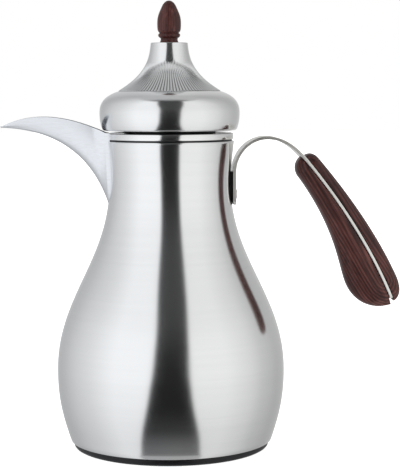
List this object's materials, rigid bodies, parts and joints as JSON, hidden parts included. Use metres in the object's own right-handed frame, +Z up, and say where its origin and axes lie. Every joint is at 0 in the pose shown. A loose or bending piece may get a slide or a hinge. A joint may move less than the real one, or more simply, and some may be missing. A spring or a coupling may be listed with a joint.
{
  "type": "dallah coffee pot",
  "caption": "Insulated steel coffee pot with a pear body, open beak spout, strap handle with wooden grip scales, and a domed twist-to-pour lid with a turned wooden finial.",
  "frame": {"origin": "on the axis of the body, in the plane the pot stands on", "axes": "+Z up along the body's axis, +X towards the handle, -X towards the spout"},
  "size_m": [0.2577, 0.1472, 0.2881],
  "materials": {
    "satin_steel": "satin brushed",
    "bright_steel": "polished",
    "black_plastic": "fine matte",
    "grey_plastic": "fine matte",
    "rosewood": "oiled, low sheen",
    "silicone": "soft, translucent look",
    "zinc_steel": "plated fastener"
  },
  "bodies": {
    "pot": {"base_foot": "black_plastic", "base_plate": "satin_steel", "outer_shell": "satin_steel", "inner_flask": "satin_steel", "mouth_ring": "black_plastic", "collar_band": "bright_steel", "spout": "satin_steel", "handle_pad": "grey_plastic", "handle_strap": "satin_steel", "strap_screw": "zinc_steel", "grip_outer": "rosewood", "grip_inner": "rosewood", "grip_pins": "zinc_steel"},
    "stopper": {"stopper_sleeve": "black_plastic", "stopper_gasket": "silicone"},
    "lid": {"rotor": "black_plastic", "rotor_retainer": "grey_plastic", "rotor_screws": "zinc_steel", "lid_base": "grey_plastic", "lid_dome": "satin_steel", "lid_cone": "satin_steel", "lid_stud": "zinc_steel", "stud_nut": "zinc_steel", "stud_washer": "zinc_steel", "finial_knob": "rosewood"}
  },
  "joints": [
    {"name": "stopper_lift", "type": "slide", "parent": "pot", "child": "stopper", "axis": [0, 0, 1], "range_m": [0, 0.06]},
    {"name": "lid_turn", "type": "hinge", "parent": "stopper", "child": "lid", "pos_m": [0, 0, 0.2], "axis": [0, 0, 1], "range_deg": [-90, 90]}
  ]
}
